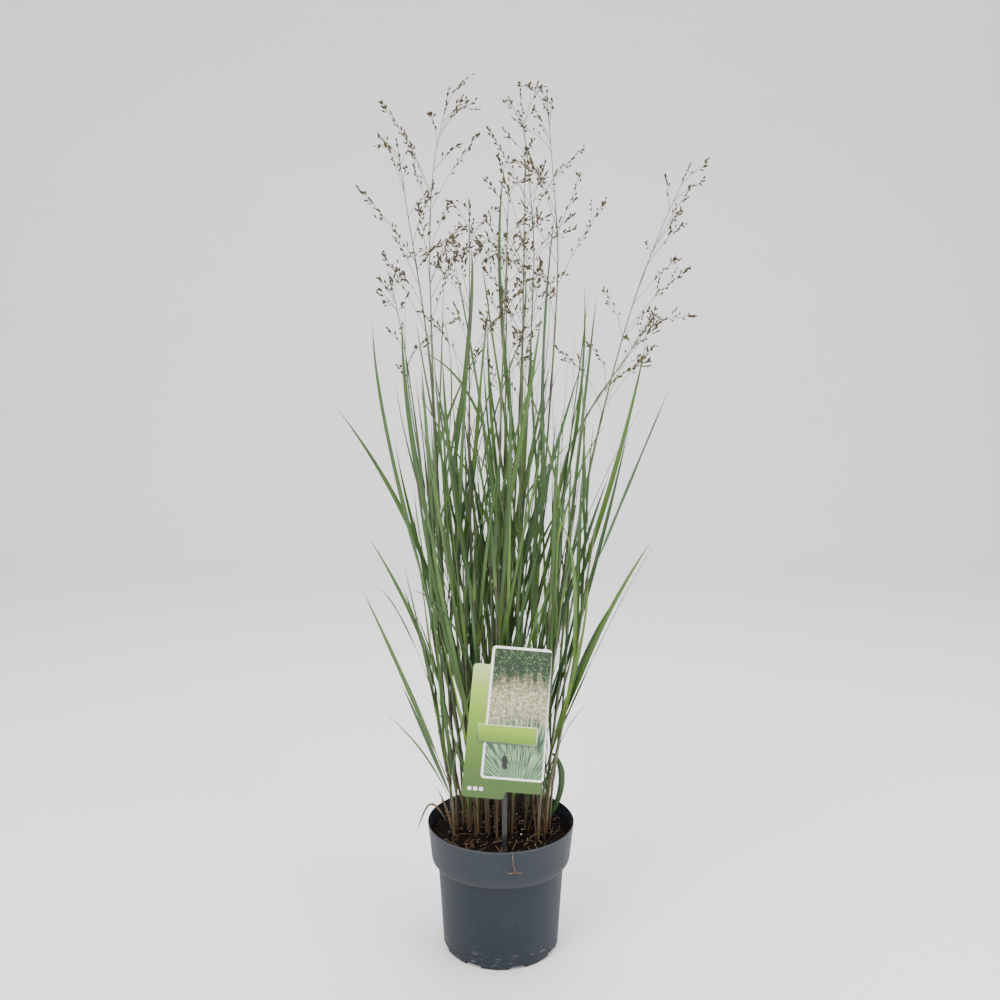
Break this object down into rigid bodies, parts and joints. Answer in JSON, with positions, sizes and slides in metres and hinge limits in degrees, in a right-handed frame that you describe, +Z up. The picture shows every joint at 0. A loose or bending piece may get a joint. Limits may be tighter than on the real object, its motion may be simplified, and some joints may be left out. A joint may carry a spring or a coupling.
{
  "type": "potted ornamental grass",
  "caption": "Upright clump of switchgrass, in flower, in a round nursery pot with a collar, with a stick-in plant label",
  "frame": {"origin": "middle of the pot's flat base, on the surface it stands on", "axes": "+Z up the plant, -Y the side with the label, +X to the right seen from the label's side"},
  "size_m": [0.4103, 0.2736, 0.9692],
  "materials": {
    "pot": "dusty dark blue-grey plastic",
    "soil": null,
    "label_card": "printed plastic card",
    "label_stake": "black moulded plastic",
    "grass": null
  },
  "bodies": {
    "root": {"flowering_shoot_01": "grass", "flowering_shoot_02": "grass", "flowering_shoot_03": "grass", "flowering_shoot_05": "grass", "flowering_shoot_06": "grass", "flowering_shoot_07": "grass", "flowering_shoot_08": "grass", "flowering_shoot_09": "grass", "flowering_shoot_12": "grass", "flowering_shoot_15": "grass", "flowering_shoot_17": "grass", "flowering_shoot_24": "grass", "flowering_shoot_25": "grass", "label_card": "label_card", "label_stake": "label_stake", "leafy_shoot_04": "grass", "leafy_shoot_10": "grass", "leafy_shoot_11": "grass", "leafy_shoot_13": "grass", "leafy_shoot_14": "grass", "leafy_shoot_16": "grass", "leafy_shoot_18": "grass", "leafy_shoot_19": "grass", "leafy_shoot_20": "grass", "leafy_shoot_21": "grass", "leafy_shoot_22": "grass", "leafy_shoot_23": "grass", "leafy_shoot_26": "grass", "leafy_shoot_27": "grass", "leafy_shoot_28": "grass", "leafy_shoot_29": "grass", "leafy_shoot_30": "grass", "leafy_shoot_31": "grass", "leafy_shoot_32": "grass", "leafy_shoot_33": "grass", "leafy_shoot_34": "grass", "leafy_shoot_35": "grass", "leafy_shoot_36": "grass", "pot": "pot", "soil": "soil"}
  },
  "joints": []
}
